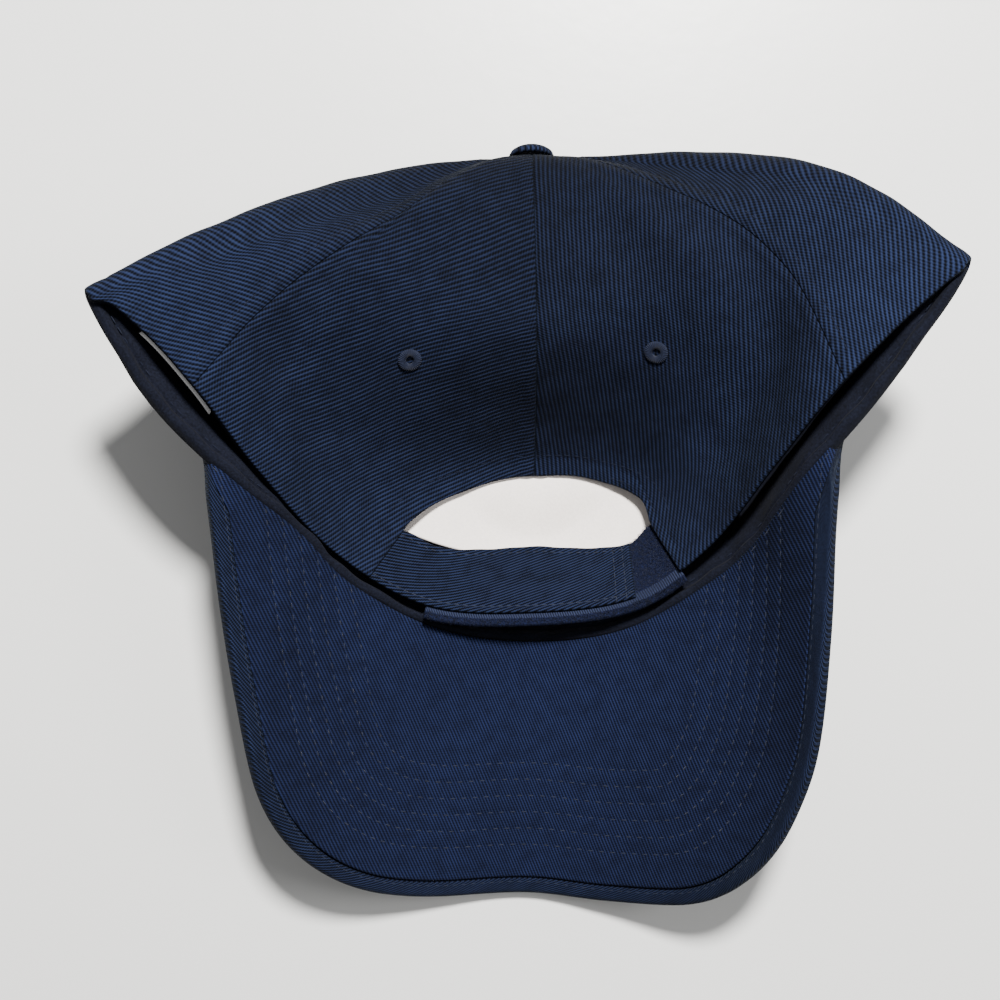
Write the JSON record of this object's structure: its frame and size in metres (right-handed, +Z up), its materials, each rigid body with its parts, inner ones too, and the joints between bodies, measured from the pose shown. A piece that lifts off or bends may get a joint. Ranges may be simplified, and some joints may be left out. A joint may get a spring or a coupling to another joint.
{
  "type": "baseball cap",
  "caption": "Navy twill baseball cap lying collapsed on its front: panelled crown with ear-like folds, curved peak, sweatband, and a hook-and-loop strap under an arched opening.",
  "frame": {"origin": "middle of the bounding box on the surface that the cap lies on", "axes": "+Z up from that surface, +Y from the peak to the button, +X to the right seen from above with the button away"},
  "size_m": [0.2042, 0.1919, 0.0556],
  "materials": {
    "crown_twill": "matt twill",
    "peak_twill": "matt fine twill",
    "buckram": "matt open weave",
    "band_cotton": "matt plain weave",
    "label_satin": "satin ribbon",
    "strap_tape": "napped tape",
    "thread": "sewing thread"
  },
  "bodies": {
    "root": {"panel_back_left": "crown_twill", "panel_back_right": "crown_twill", "panel_side_left": "crown_twill", "panel_side_right": "crown_twill", "panel_front_left": "crown_twill", "panel_front_right": "crown_twill", "stiffener": "buckram", "sweatband": "band_cotton", "label": "label_satin", "peak": "crown_twill", "peak_under": "peak_twill", "strap_outer": "crown_twill", "strap_loop": "strap_tape", "button": "crown_twill", "eyelet_back_left": "thread", "eyelet_back_right": "thread"}
  },
  "joints": []
}
